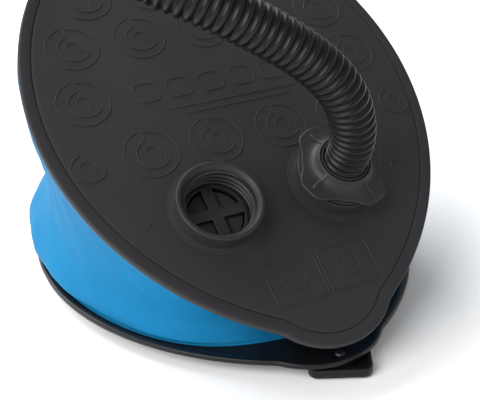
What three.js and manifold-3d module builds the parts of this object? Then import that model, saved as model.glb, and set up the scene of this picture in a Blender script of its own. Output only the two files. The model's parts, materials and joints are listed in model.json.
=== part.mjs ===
// A wedge-shaped foot bellows pump: two hinged tread plates joined by a fabric sleeve, with two threaded
// ports on the upper plate and a corrugated hose held in one of them by a lobed nut. Millimetres, +Z up,
// floor at z = 0, +Y from the hinged nose towards the wide end. The pump stands open.
import * as THREE from 'three';
import * as BufferGeometryUtils from 'three/addons/utils/BufferGeometryUtils.js';
import Module from 'manifold-3d';

const wasm = await Module();
wasm.setup();

// ---- driving dimensions ----
const gap = 0.3;                  // clearance between pieces that touch
const openingAngle = 36.2;        // degrees between the plates at rest
const wideRadius = 103;           // round wide end of both plates
const sideRadius = 165;           // long side arcs
const sideStart = 28;             // degrees above the widest line where a side arc begins
const neckRadius = 17;            // hollow between the sides and the nose
const noseRadius = 38;
const noseCentre = 147.5;         // wide arc centre to nose arc centre, upper plate
const noseFromHinge = 19.5;       // nose tip of the upper plate beyond the hinge axis
const baseReach = 5;              // the base is longer than the upper plate by this
const hingeHeight = 17.1;         // hinge axis above the floor
const hingeY = -122.7;             // hinge axis in the frame, so that the pump is centred

const baseTop = 11;               // bead of the base above the floor
const baseFlange = 3;             // visible edge of the base
const baseBead = 4;               // width of the raised bead
const baseDeck = 9.5;             // deck inside the bead
const baseUnder = 6.5;            // underside inside the flange
const skirtWall = 2.5;
const skirtInset = 17;
const skirtBottom = 2.5;

const treadTop = 21.9;            // upper face above the hinge axis, square to the plate
const treadEdge = 3.5;            // edge of the upper plate
const treadDeck = 2.3;            // its deck
const treadRim = 3;               // width of the thick edge

const sleeveWall = 1.2;
const sleeveBaseInset = 5.2;      // outer face of the sleeve inside the plate's outline
const sleeveTopInset = 3.6;
const sleeveNoseRadius = 160;     // nearly straight fold across the nose
const sleeveNose = 6.6;           // that fold behind the hinge axis
const fullHeight = 165;           // height of fabric that swells and folds fully
const baseSwell = 14;             // it sags out over the base,
const waistDepth = 15.4;          // is drawn in at its waist,
const topSwell = 6.5;             // and stands out again under the upper plate

const clampWidth = 6;
const ringSetback = 6;            // extra distance behind the nose fold
const clampThick = 2.5;

const ports = { left: -35.4, right: 32 };
const portFromHinge = 66.5;
const collarRadius = 22.6;
const collarHeight = 9.3;
const boreRadius = 18.4;
const threadDepth = 0.8;
const threadPitch = 3.5;
const threadCrests = 4;
const wellDepth = 10;             // the port's well below the upper face
const ledgeRadius = 16.5;
const ledgeThick = 2.2;

const seatThick = 3;
const seatBar = 6;
const seatRing = 2.2;
const flapThick = 1;
const flapInset = 2;
const flapTravel = 2.2;
const flapPinRadius = 2;
const flapPinDepth = 2.2;         // blind eye in the seat
const flapHeadRadius = 3.4;
const flapHeadThick = 1;

const hoseRadius = 11.5;
const gasketThick = 1;
const gasketRadius = 21.5;
const nutRadius = 24.2;           // lobed plate, halfway between its lobes and its flats
const nutLobe = 2.7;
const nutLobes = 4;
const nutFirstLobe = 22.5;        // degrees from +X
const nutSkirtRadius = 22.6;      // round band under the lobed plate
const nutSkirt = 1.4;
const nutPlate = 1.5;
const nutDome = 5.4;
const swivelWall = 1;
const nutRibWidth = 2.2;
const nutEngaged = 7;             // thread travel that frees the nut
const swivelFlange = 0.8;
const swivelFlangeWidth = 2.4;

const pinRadius = 2.5;
const runningFit = 0.06;
const lugRadius = 5.2;
const lugWidth = 4;
const lugOffset = 3;
const clipThick = 1.2;
const pinTail = 2.4;               // pin beyond the outer lug

const springRadius = 16;
const springWire = 2;
const springTurns = 4;
const springX = 45;
const springFromHinge = 150;
const springStud = 3;

const screwHead = 3;
const screwShank = 1.3;
const screwHeadThick = 1.4;
const screwCover = 0.8;           // plastic left above a blind screw hole

const tabWidth = 32;
const tabLength = 22.5;
const tabThick = 4.9;
const tabCorner = 5;
const tabLift = 1.2;              // its underside above the floor
const tabReach = 8.7;             // pivot to its front edge
const tabTurn = 26.5;             // degrees it stands swung aside at rest
const tabFromNose = 7.2;          // pivot inside the nose of the base
const rivetRadius = 1.7;
const rivetHead = 2.8;

const footRadius = 8;
const cuffLength = 30;
const cuffRadius = 14.2;
const nozzleLength = 46;

const theta = THREE.MathUtils.degToRad(openingAngle);
const wideFromHinge = noseCentre + noseRadius - noseFromHinge;   // to the centre of the wide arc
const baseZ = hingeHeight;        // lets base heights be written above the floor

// ---- materials ----
function finish(color, roughness, metalness = 0) {
  return () => new THREE.MeshStandardMaterial({ color, roughness, metalness });
}
const shell = finish(0x38393c, 0.5);
const innerPlastic = finish(0x2c2d30, 0.6);
const fabric = finish(0x2a93d5, 0.8);
const hoseVinyl = finish(0x1d1d20, 0.35);
const rubber = finish(0x202022, 0.85);
const steel = finish(0xb4b8bc, 0.35, 0.9);

// ---- solids ----
function solidOf(geometry) {
  const bare = geometry.clone();
  bare.deleteAttribute('normal');
  bare.deleteAttribute('uv');
  const merged = BufferGeometryUtils.mergeVertices(bare, 1e-4);
  return new wasm.Manifold(new wasm.Mesh({
    numProp: 3,
    vertProperties: new Float32Array(merged.attributes.position.array),
    triVerts: new Uint32Array(merged.index.array),
  }));
}

function geometryOf(solid) {
  const mesh = solid.getMesh();
  const geometry = new THREE.BufferGeometry();
  geometry.setAttribute('position', new THREE.BufferAttribute(mesh.vertProperties, 3));
  geometry.setIndex(new THREE.BufferAttribute(mesh.triVerts, 1));
  geometry.computeVertexNormals();
  return geometry;
}

// A flat outline made a slab between two heights.
function slab(points, low, high) {
  const geometry = new THREE.ExtrudeGeometry(new THREE.Shape(points), {
    depth: high - low, bevelEnabled: false, steps: 1,
  });
  geometry.translate(0, 0, low);
  return solidOf(geometry);
}

// A turned solid about +Z at (x, y); the profile is a list of [radius, height].
function turned(profile, x = 0, y = 0, sides = 32) {
  const points = profile.map(([radius, height]) => new THREE.Vector2(radius, height));
  const geometry = new THREE.LatheGeometry(points, sides);
  geometry.rotateX(Math.PI / 2);
  geometry.translate(x, y, 0);
  return solidOf(geometry);
}

function disc(radius, low, high, x = 0, y = 0, sides = 32) {
  return turned([[0, low], [radius, low], [radius, high], [0, high]], x, y, sides);
}

function tube(outer, inner, low, high, x = 0, y = 0, sides = 32) {
  return turned([[inner, low], [outer, low], [outer, high], [inner, high], [inner, low]], x, y, sides);
}

function bar(x0, x1, y0, y1, z0, z1) {
  const geometry = new THREE.BoxGeometry(x1 - x0, y1 - y0, z1 - z0);
  geometry.translate((x0 + x1) / 2, (y0 + y1) / 2, (z0 + z1) / 2);
  return solidOf(geometry);
}

// A round bar along X between two X positions, centred on the hinge axis.
function axle(radius, x0, x1) {
  const geometry = new THREE.CylinderGeometry(radius, radius, x1 - x0, 32);
  geometry.rotateZ(Math.PI / 2);
  geometry.translate((x0 + x1) / 2, 0, 0);
  return solidOf(geometry);
}

// ---- outlines, with the hinge axis at y = 0 ----
// Plates share one shape: a round wide end, two long side arcs, and a small nose joined by hollows.
// inset shrinks it; reach lengthens it towards the nose with a straight at its widest line.
function plateOutline(inset, reach) {
  const a = THREE.MathUtils.degToRad(sideStart);
  const wide = wideRadius - inset;
  const side = sideRadius - inset;
  const nose = noseRadius - inset;
  const neck = neckRadius + inset;
  const shift = new THREE.Vector2(Math.cos(a), Math.sin(a)).multiplyScalar(wideRadius - sideRadius);
  const sideCentre = shift.clone().setY(shift.y - reach);
  const noseY = -noseCentre - reach;
  const across = Math.hypot(sideCentre.x, sideCentre.y - noseY);
  const toNeck = side + neck;
  const noseToNeck = nose + neck;
  const along = (toNeck ** 2 - noseToNeck ** 2 + across ** 2) / (2 * across);
  const off = Math.sqrt(toNeck ** 2 - along ** 2);
  const ux = -sideCentre.x / across;
  const uy = (noseY - sideCentre.y) / across;
  const neckX = sideCentre.x + ux * along - uy * off;
  const neckY = sideCentre.y + uy * along + ux * off;
  const half = [];
  const arc = (cx, cy, radius, from, to, steps) => {
    for (let i = 0; i < steps; i += 1) {
      const t = from + (to - from) * (i / steps);
      half.push(new THREE.Vector2(cx + radius * Math.cos(t), cy + radius * Math.sin(t)));
    }
  };
  const toSide = Math.atan2(neckY - sideCentre.y, neckX - sideCentre.x);
  const toNose = Math.atan2(neckY - noseY, neckX);
  arc(0, 0, wide, Math.PI / 2, a, 12);
  arc(shift.x, shift.y, side, a, 0, 5);
  arc(sideCentre.x, sideCentre.y, side, 0, toSide, 9);
  arc(neckX, neckY, neck, toSide + Math.PI, Math.PI + toNose, 3);
  arc(0, noseY, nose, toNose, -Math.PI / 2, 6);
  half.push(new THREE.Vector2(0, noseY - nose));
  const other = half.slice(1, -1).reverse().map((p) => new THREE.Vector2(-p.x, p.y));
  const whole = half.concat(other).reverse();
  return whole.map((p) => new THREE.Vector2(p.x, p.y + wideFromHinge));
}

// The sleeve, the clamp rings and the skirt follow the plate but cross the nose behind the hinge.
function sleeveOutline(inset, reach, noseInset = 0) {
  const centre = new THREE.Vector2(0, 120);
  const noseY = sleeveNose + sleeveNoseRadius;
  const radius = sleeveNoseRadius - noseInset;
  return plateOutline(inset, reach).map((p) => {
    const ray = p.clone().sub(centre);
    const far = ray.length();
    ray.divideScalar(far);
    const m = new THREE.Vector2(0, centre.y - noseY);
    const b = m.dot(ray);
    const exit = ray.y < 0 ? -b + Math.sqrt(b * b - m.lengthSq() + radius * radius) : 2 * far;
    const blend = 6;
    const soft = -blend * Math.log(Math.exp(-far / blend) + Math.exp(-exit / blend));
    return centre.clone().addScaledVector(ray, soft);
  });
}

// The sleeve leans over the nose as it rises, so rings inside it stand further back there.
function ringOutline(inset, reach) {
  return sleeveOutline(inset, reach, inset - sleeveBaseInset + ringSetback);
}

function ringSlab(inset, width, reach, low, high) {
  return slab(ringOutline(inset, reach), low, high)
    .subtract(slab(ringOutline(inset + width, reach), low - 1, high + 1));
}

// ---- assembly ----
const pump = new THREE.Group();
const baseFrame = new THREE.Group();     // hinge axis at its origin, heights above the floor
baseFrame.position.set(0, hingeY, 0);
const treadFrame = new THREE.Group();    // hinge axis at its origin, turned open
treadFrame.position.set(0, hingeY, hingeHeight);
treadFrame.rotation.x = theta;
pump.add(baseFrame, treadFrame);

function place(name, solid, material, frame) {
  const mesh = new THREE.Mesh(geometryOf(solid), material());
  mesh.name = name;
  frame.add(mesh);
}

const noseTip = plateOutline(0, baseReach).reduce((low, p) => Math.min(low, p.y), 0);
const tabPivot = noseTip + tabFromNose;
const sides = [['left', -1], ['right', 1]];

// Screw places inside a clamp ring: fractions of the way round, mirrored left and right.
function screwPlaces(reach, inset) {
  const ring = ringOutline(inset, reach);
  return [0.07, 0.21, 0.37].flatMap((part) => {
    const p = ring[Math.round(part * ring.length)];
    return [[p.x, p.y], [-p.x, p.y]];
  });
}
const baseClampInset = sleeveBaseInset + sleeveWall + gap;
const treadClampInset = sleeveTopInset + sleeveWall + gap;
const baseScrews = screwPlaces(baseReach, baseClampInset + clampWidth / 2);
const treadScrews = screwPlaces(0, treadClampInset + clampWidth / 2);

// A spring bends about the hinge axis, so the stud inside each end stands where its arc meets the plate.
const studRadius = springRadius - springWire / 2 - 1;
function springMeets(height) {
  return Math.sqrt(springFromHinge ** 2 - height ** 2);
}

function basePlate() {
  const flange = slab(plateOutline(0, baseReach), baseTop - baseFlange, baseTop);
  const under = slab(plateOutline(baseBead + 4, baseReach), baseUnder, baseDeck);
  const recess = slab(plateOutline(baseBead, baseReach), baseDeck, baseTop + 1);
  let solid = flange.add(under).subtract(recess);
  solid = solid.add(ringSlab(skirtInset, skirtWall, baseReach, skirtBottom, baseUnder + 0.5));
  for (const [, side] of sides) {
    const x0 = side * (lugOffset + lugWidth + gap);
    const x1 = x0 + side * lugWidth;
    const low = Math.min(x0, x1);
    const high = Math.max(x0, x1);
    const lug = axle(lugRadius, low, high).add(
      bar(low, high, -lugRadius, lugRadius, baseDeck - 1 - baseZ, 0));
    const raised = lug.subtract(axle(pinRadius + runningFit, low - 1, high + 1)).translate([0, 0, baseZ]);
    solid = solid.add(raised);
    const studY = springMeets(baseDeck - baseZ);
    solid = solid.add(disc(studRadius, baseDeck - 1, baseDeck + springStud, side * springX, studY, 24));
  }
  for (const [x, y] of baseScrews) {
    solid = solid.subtract(disc(screwShank + gap, 0, baseTop + 5, x, y, 12));
  }
  return solid.subtract(disc(rivetRadius + gap, 0, baseTop + 1, 0, tabPivot, 24));
}

function treadPlate() {
  const low = treadTop - treadEdge;
  const deckLow = treadTop - treadDeck;
  let solid = slab(plateOutline(0, 0), low, treadTop);
  solid = solid.subtract(slab(plateOutline(treadRim, 0), low - 1, deckLow));
  for (const [name, side] of sides) {
    const x0 = side * lugOffset;
    const x1 = x0 + side * lugWidth;
    const lowX = Math.min(x0, x1);
    const highX = Math.max(x0, x1);
    const foot = bar(lowX, highX, -lugRadius, lugRadius, 0, deckLow + 1);
    const lug = axle(lugRadius, lowX, highX).add(foot);
    solid = solid.add(lug.subtract(axle(pinRadius + runningFit, lowX - 1, highX + 1)));
    const studY = springMeets(deckLow);
    solid = solid.add(disc(studRadius, deckLow - springStud, deckLow + 1, side * springX, studY, 24));
    const x = ports[name];
    const well = treadTop - wellDepth;
    solid = solid.subtract(disc(collarRadius - 1, low - 1, treadTop + 1, x, portFromHinge));
    solid = solid.add(collar(well, x));
  }
  for (const [x, y] of treadScrews) {
    solid = solid.subtract(disc(screwShank + gap, deckLow - 1, treadTop - screwCover, x, y, 12));
  }
  return solid;
}

// One port's collar: an open threaded bore above a ledge that the valve seat rests on.
function collar(well, x) {
  const rim = treadTop + collarHeight;
  const profile = [[ledgeRadius, well], [collarRadius, well], [collarRadius, rim], [boreRadius, rim]];
  for (let i = 0; i < threadCrests; i += 1) {
    const mid = rim - threadPitch * 0.55 - i * threadPitch * 0.75;
    profile.push([boreRadius, mid + 0.9], [boreRadius - threadDepth, mid], [boreRadius, mid - 0.9]);
  }
  profile.push([boreRadius, well + ledgeThick], [ledgeRadius, well + ledgeThick], [ledgeRadius, well]);
  return turned(profile, x, portFromHinge);
}
const seatLow = treadTop - wellDepth + ledgeThick + gap;
const seatHigh = seatLow + seatThick;

// Its face towards the flap has a blind eye for the flap's pin. down = 1 puts the flap under the seat.
function valveSeat(x, down) {
  const outer = boreRadius - threadDepth - gap;
  const ring = tube(outer, outer - seatRing, seatLow, seatHigh, x, portFromHinge);
  const long = outer - 1;
  const half = seatBar / 2;
  const y = portFromHinge;
  const across = bar(x - long, x + long, y - half, y + half, seatLow, seatHigh);
  const cross = across.add(bar(x - half, x + half, y - long, y + long, seatLow, seatHigh));
  const eyeLow = down > 0 ? seatLow - 1 : seatHigh - flapPinDepth;
  const eye = disc(flapPinRadius + gap, eyeLow, eyeLow + flapPinDepth + 1, x, y, 20);
  return ring.add(cross).subtract(eye);
}

// A rubber disc and the headed pin that guides it.
function flapDisc(x, down) {
  const near = down > 0 ? seatLow - gap - flapThick : seatHigh + gap;
  const radius = ledgeRadius - flapInset;
  return tube(radius, flapPinRadius + gap, near, near + flapThick, x, portFromHinge, 32);
}

function flapPin(x, down) {
  const slot = flapThick + flapTravel + 2 * gap;
  const headSide = down > 0 ? seatLow - slot : seatHigh + slot;
  const seatFace = down > 0 ? seatLow : seatHigh;
  const tail = seatFace + down * (flapPinDepth - gap);
  const profile = [
    [0, headSide - down * flapHeadThick], [flapHeadRadius, headSide - down * flapHeadThick],
    [flapHeadRadius, headSide], [flapPinRadius, headSide], [flapPinRadius, tail], [0, tail],
  ];
  return turned(down > 0 ? profile : profile.reverse(), x, portFromHinge, 20);
}

// ---- sleeve ----
// Points are swept about the hinge axis from the base's ring to the upper plate's ring. Each point keeps
// its place round the ring; radius, angle and X pass evenly from one ring to the other.
function swell(part) {
  const sag = baseSwell * Math.exp(-(((part - 0.083) / 0.106) ** 2));
  const waist = waistDepth * Math.exp(-(((part - 0.456) / 0.259) ** 2));
  const lip = topSwell * Math.exp(-(((part - 0.927) / 0.118) ** 2));
  const released = Math.min((part - 0.02) / 0.04, (1 - part) / 0.04);
  return (sag - waist + lip) * THREE.MathUtils.clamp(released, 0, 1);
}

function sleeveGeometry() {
  const levels = [0, 0.02, 0.06, 0.13, 0.25, 0.45, 0.65, 0.8, 0.92, 1];
  const surfaces = [0, sleeveWall].map((skin) => {
    const low = sleeveOutline(sleeveBaseInset + skin, baseReach, skin);
    const high = sleeveOutline(sleeveTopInset + skin, 0, skin);
    const lowZ = baseDeck + gap - baseZ;
    const highZ = treadTop - treadDeck - gap;
    const rows = [];
    for (const part of levels) {
      rows.push(low.map((p, i) => {
        const q = high[i];
        const from = Math.atan2(lowZ, p.y);
        const to = Math.atan2(highZ, q.y) + theta;
        const angle = from + (to - from) * part;
        const radius = THREE.MathUtils.lerp(Math.hypot(p.y, lowZ), Math.hypot(q.y, highZ), part);
        const x = THREE.MathUtils.lerp(p.x, q.x, part);
        const before = low[(i + low.length - 1) % low.length];
        const after = low[(i + 1) % low.length];
        const side = new THREE.Vector2(after.y - before.y, before.x - after.x).normalize();
        const push = swell(part) * Math.min(1, (radius * theta) / fullHeight) ** 1.3;
        const r = radius + side.y * push;
        return [x + side.x * push, r * Math.cos(angle), r * Math.sin(angle) + baseZ];
      }));
    }
    return rows;
  });
  const count = surfaces[0][0].length;
  const vertices = surfaces.flat(2).flat();
  const last = levels.length - 1;
  const row = (skin, k) => (skin * levels.length + k) * count;
  const faces = [];
  const quad = (a, b, c, d) => faces.push(a, b, c, a, c, d);
  for (let i = 0; i < count; i += 1) {
    const j = (i + 1) % count;
    for (let k = 0; k < last; k += 1) {
      quad(row(0, k) + i, row(0, k) + j, row(0, k + 1) + j, row(0, k + 1) + i);
      quad(row(1, k) + j, row(1, k) + i, row(1, k + 1) + i, row(1, k + 1) + j);
    }
    quad(row(1, 0) + i, row(1, 0) + j, row(0, 0) + j, row(0, 0) + i);
    quad(row(0, last) + i, row(0, last) + j, row(1, last) + j, row(1, last) + i);
  }
  const geometry = new THREE.BufferGeometry();
  geometry.setAttribute('position', new THREE.BufferAttribute(new Float32Array(vertices), 3));
  geometry.setIndex(faces);
  return geometry;
}

// ---- return springs: coils whose centre line is an arc about the hinge axis ----
class CoilPath extends THREE.Curve {
  constructor(x, start, end) {
    super();
    this.x = x;
    this.start = start;
    this.end = end;
  }

  getPoint(t, target = new THREE.Vector3()) {
    const around = t * springTurns * 2 * Math.PI;
    const angle = this.start + (this.end - this.start) * t;
    const radius = springFromHinge + springRadius * Math.cos(around);
    const x = this.x + springRadius * Math.sin(around);
    return target.set(x, radius * Math.cos(angle), radius * Math.sin(angle) + baseZ);
  }
}

function roundSection(radius, sides) {
  const shape = new THREE.Shape();
  for (let i = 0; i < sides; i += 1) {
    const t = (i / sides) * 2 * Math.PI;
    const x = radius * Math.cos(t);
    const y = radius * Math.sin(t);
    if (i === 0) shape.moveTo(x, y);
    else shape.lineTo(x, y);
  }
  shape.closePath();
  return shape;
}

function spring(x) {
  const reach = springFromHinge - springRadius;
  const clear = (springWire / 2 + 2 * gap) / reach;
  const start = Math.atan2(baseDeck - baseZ, springFromHinge + springRadius) + clear;
  const under = treadTop - treadDeck;
  const end = theta + Math.atan2(under, springFromHinge + springRadius) - clear;
  const geometry = new THREE.ExtrudeGeometry(roundSection(springWire / 2, 6), {
    steps: springTurns * 12, bevelEnabled: false, extrudePath: new CoilPath(x, start, end),
  });
  return solidOf(geometry);
}

// ---- hose nut, its swivel sleeve and gasket, along the right port's axis ----
const collarRim = treadTop + collarHeight;
const nutThroat = hoseRadius + gap + swivelWall;
const nutLow = collarRim + gap + gasketThick + gap;
const nutTop = nutLow + nutSkirt + nutPlate + nutDome;
const sleeveTop = nutTop + 0.5;

function onPort(profile, sides) {
  return turned(profile, ports.right, portFromHinge, sides);
}

function hoseNut() {
  const outline = [];
  const steps = 48;
  const first = THREE.MathUtils.degToRad(nutFirstLobe);
  for (let i = 0; i < steps; i += 1) {
    const t = (i / steps) * 2 * Math.PI;
    const radius = nutRadius + nutLobe * Math.cos(nutLobes * (t - first));
    outline.push(new THREE.Vector2(ports.right + radius * Math.cos(t), portFromHinge + radius * Math.sin(t)));
  }
  const plateLow = nutLow + nutSkirt;
  const plateTop = plateLow + nutPlate;
  const skirt = disc(nutSkirtRadius, nutLow, plateLow + 0.5, ports.right, portFromHinge);
  const foot = nutThroat + 7;
  const dome = onPort([
    [0, plateTop - 1], [foot, plateTop - 1], [foot, plateTop], [foot - 2.4, plateTop + 0.8],
    [foot - 4.4, plateTop + 2.6], [nutThroat + 1.4, nutTop], [0, nutTop],
  ]);
  const spigotRadius = boreRadius - threadDepth - gap;
  const spigot = disc(spigotRadius, collarRim - nutEngaged, nutLow + 1, ports.right, portFromHinge);
  let solid = slab(outline, plateLow, plateTop).add(skirt).add(dome).add(spigot);
  for (let i = 0; i < nutLobes; i += 1) {
    const half = nutRibWidth / 2;
    const rib = bar(nutThroat, nutRadius - 1.5, -half, half, plateTop - 1, plateTop + 1)
      .rotate([0, 0, nutFirstLobe + (i * 360) / nutLobes]).translate([ports.right, portFromHinge, 0]);
    solid = solid.add(rib);
  }
  return solid.subtract(disc(nutThroat + gap, collarRim - 20, nutTop + 5, ports.right, portFromHinge));
}

function hoseSleeve() {
  const low = collarRim - nutEngaged - gap;
  const inner = hoseRadius + gap;
  const flange = nutThroat + swivelFlangeWidth;
  return onPort([
    [inner, low - swivelFlange], [flange, low - swivelFlange], [flange, low],
    [nutThroat, low], [nutThroat, sleeveTop], [inner, sleeveTop], [inner, low - swivelFlange],
  ]);
}

// ---- nose tab: a rounded plate with a raised edge, swung about its rivet ----
function noseTab() {
  const shape = (inset) => {
    const outline = new THREE.Shape();
    const x = tabWidth / 2 - inset;
    const front = -tabReach + inset;
    const back = tabLength - tabReach - inset;
    const r = tabCorner - inset;
    outline.absarc(x - r, front + r, r, -Math.PI / 2, 0, false);
    outline.absarc(x - r, back - r, r, 0, Math.PI / 2, false);
    outline.absarc(-x + r, back - r, r, Math.PI / 2, Math.PI, false);
    outline.absarc(-x + r, front + r, r, Math.PI, 1.5 * Math.PI, false);
    return outline.getPoints(4);
  };
  const top = tabLift + tabThick;
  const plate = slab(shape(0), tabLift, top);
  const recess = slab(shape(2.4), top - 1.8, top + 1).subtract(disc(6, 0, top + 2, 0, 0, 24));
  return plate.subtract(recess)
    .subtract(disc(rivetRadius + gap, 0, top + 2, 0, 0, 24))
    .subtract(disc(rivetHead + gap, 0, tabLift + 1.8, 0, 0, 24))
    .rotate([0, 0, -tabTurn]).translate([0, tabPivot, 0]);
}

function tabRivet() {
  return turned([
    [0, tabLift + gap], [rivetHead, tabLift + gap], [rivetHead, tabLift + 1.5], [rivetRadius, tabLift + 1.5],
    [rivetRadius, baseDeck + gap], [rivetHead, baseDeck + gap], [rivetHead - 0.6, baseTop], [0, baseTop],
  ], 0, tabPivot, 16);
}

// A screw pointing up: shoulder is the height that its head bears on.
function screw(x, y, shoulder, length) {
  const low = shoulder - screwHeadThick;
  return turned([
    [0, low], [screwHead - 0.6, low], [screwHead, low + 0.6], [screwHead, shoulder],
    [screwShank, shoulder], [screwShank, shoulder + length - 0.8], [0, shoulder + length],
  ], x, y, 8);
}

// ---- hose: its route is chosen by hand, from the swivel sleeve over the wide end and down to the floor ----
const hoseStart = new THREE.Vector3(ports.right, portFromHinge, sleeveTop + gap)
  .applyAxisAngle(new THREE.Vector3(1, 0, 0), theta)
  .add(new THREE.Vector3(0, hingeY, hingeHeight));
const hoseRoute = [
  [31.6, -100.1, 101.5], [28.8, -105.1, 113.6], [22.6, -108.7, 128.3], [13.3, -109.6, 141.5],
  [0.3, -108.3, 153.8], [-15, -105.4, 165.1], [-33.1, -101.7, 176.7], [-52, -93.7, 187.5],
  [-70, -78.7, 198], [-85, -58.7, 207], [-95, -32.7, 213.5], [-99, -7.7, 216.5], [-99, 18.3, 217.5],
  [-95, 44.3, 216.5], [-87, 70.3, 213], [-75, 95.3, 206], [-60, 119.3, 193], [-42, 141.3, 172], [-22, 160.3, 144],
  [-1, 176.3, 110], [20, 190.3, 76], [42, 205.3, 46], [66, 223.3, 24], [90, 245.3, 13], [112, 274.3, 12],
  [127, 308.3, 12], [130, 346.3, 12], [119, 382.3, 12], [95, 410.3, 12], [62, 425.3, 12],
];
const hosePoints = [hoseStart, ...hoseRoute.map((p) => new THREE.Vector3(...p))];
const hosePath = new THREE.CatmullRomCurve3(hosePoints, false, 'centripetal');

function hose() {
  const geometry = new THREE.ExtrudeGeometry(roundSection(hoseRadius, 12), {
    steps: 34, bevelEnabled: false, extrudePath: hosePath,
  });
  return solidOf(geometry);
}

// The cuff and the stepped nozzle lie on the floor, in line with the end of the hose.
function onHoseEnd(solid) {
  const end = hosePath.getPoint(1);
  const along = hosePath.getTangent(1).setZ(0).normalize();
  const turn = (Math.atan2(along.y, along.x) * 180) / Math.PI;
  return solid.rotate([0, 90, 0]).rotate([0, 0, turn]).translate([end.x, end.y, cuffRadius + gap]);
}

function hoseCuff() {
  return onHoseEnd(turned([
    [hoseRadius - 3, gap], [cuffRadius - 1, gap], [cuffRadius, gap + 1], [cuffRadius, cuffLength - 1],
    [cuffRadius - 1, cuffLength], [hoseRadius - 3, cuffLength], [hoseRadius - 3, gap],
  ], 0, 0, 32));
}

function nozzle() {
  const low = cuffLength + gap;
  return onHoseEnd(turned([
    [2.6, low], [13.2, low], [13.2, low + 4], [9.6, low + 5.5], [8.4, low + 20], [7, low + 21],
    [5.8, low + 33], [4.9, low + 34], [4.1, low + nozzleLength - 1], [3.6, low + nozzleLength],
    [2.6, low + nozzleLength], [2.6, low],
  ], 0, 0, 24));
}

// ---- the pieces ----
place('base_plate', basePlate(), shell, baseFrame);
place('tread_plate', treadPlate(), shell, treadFrame);
function drilled(ring, places) {
  return places.reduce((left, [x, y]) => left.subtract(disc(screwShank + gap, 0, 60, x, y, 12)), ring);
}
const baseClampLow = baseDeck + gap;
const baseClamp = ringSlab(baseClampInset, clampWidth, baseReach, baseClampLow, baseClampLow + clampThick);
place('base_clamp_ring', drilled(baseClamp, baseScrews), innerPlastic, baseFrame);
const treadClampHigh = treadTop - treadDeck - gap;
const treadClamp = ringSlab(treadClampInset, clampWidth, 0, treadClampHigh - clampThick, treadClampHigh);
place('tread_clamp_ring', drilled(treadClamp, treadScrews), innerPlastic, treadFrame);
place('bellows_sleeve', solidOf(sleeveGeometry()), fabric, baseFrame);

for (const [side, sign] of sides) {
  const down = sign < 0 ? 1 : -1;
  const x = ports[side];
  place(`${side}_valve_seat`, valveSeat(x, down), innerPlastic, treadFrame);
  place(`${side}_valve_flap`, flapDisc(x, down), rubber, treadFrame);
  place(`${side}_flap_pin`, flapPin(x, down), innerPlastic, treadFrame);
  place(`${side}_return_spring`, spring(sign * springX), steel, baseFrame);
}
const gasketLow = collarRim + gap;
const gasketBore = boreRadius - threadDepth;
place('port_gasket', onPort([
  [gasketBore, gasketLow], [gasketRadius, gasketLow], [gasketRadius, gasketLow + gasketThick],
  [gasketBore, gasketLow + gasketThick], [gasketBore, gasketLow],
]), rubber, treadFrame);
place('hose_nut', hoseNut(), shell, treadFrame);
place('hose_swivel_sleeve', hoseSleeve(), innerPlastic, treadFrame);

const pinHalf = lugOffset + 2 * lugWidth + gap + pinTail;
place('hinge_pin', axle(pinRadius, -pinHalf, pinHalf).translate([0, 0, baseZ]), steel, baseFrame);
for (const [side, sign] of sides) {
  const near = lugOffset + 2 * lugWidth + 2 * gap;
  const eye = axle(pinRadius + runningFit, near - 1, near + 3);
  const clip = axle(lugRadius - 1, near, near + clipThick).subtract(eye);
  const turnedClip = sign > 0 ? clip : clip.mirror([1, 0, 0]);
  place(`hinge_clip_${side}`, turnedClip.translate([0, 0, baseZ]), steel, baseFrame);
}

place('nose_tab', noseTab(), shell, baseFrame);
place('nose_tab_rivet', tabRivet(), steel, baseFrame);

const insideSkirt = skirtInset + skirtWall + footRadius;
const footRing = wideRadius - insideSkirt - 6;
const footAngle = THREE.MathUtils.degToRad(25);
const rearX = footRing * Math.cos(footAngle);
const rearY = wideFromHinge + footRing * Math.sin(footAngle);
const frontX = footRing * 0.36;
const frontY = sleeveNose - sleeveBaseInset + ringSetback + insideSkirt + 8;
const feet = [[-frontX, frontY], [frontX, frontY], [-rearX, rearY], [rearX, rearY]];
const footTop = baseUnder - gap;
feet.forEach(([x, y], i) => {
  const profile = [[0, 0], [footRadius - 1, 0], [footRadius, 1], [footRadius, footTop], [0, footTop]];
  const foot = turned(profile, x, y, 24);
  place(`rubber_foot_${i + 1}`, foot, rubber, baseFrame);
});
baseScrews.forEach(([x, y], i) => {
  const length = baseDeck - baseUnder + gap + clampThick;
  place(`base_screw_${i + 1}`, screw(x, y, baseUnder - gap, length), steel, baseFrame);
});
treadScrews.forEach(([x, y], i) => {
  const length = clampThick + treadDeck - screwCover;
  place(`tread_screw_${i + 1}`, screw(x, y, treadClampHigh - clampThick - gap, length), steel, treadFrame);
});

place('hose', hose(), hoseVinyl, pump);
place('hose_end_cuff', hoseCuff(), innerPlastic, pump);
place('nozzle', nozzle(), innerPlastic, pump);

export default pump;
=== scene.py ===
"""A wedge-shaped foot bellows pump, standing open.

Two hinged tread plates hold a blue fabric sleeve between them. The upper plate has two threaded ports, and a
corrugated hose is held in one of them by a lobed nut.

Shapes are drawn in millimetres in one of two places: BASE, with the hinge axis over its origin and heights
above the floor, or TREAD, with its origin on the hinge axis and turned open with the upper plate.
"""
import json
import math

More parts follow.
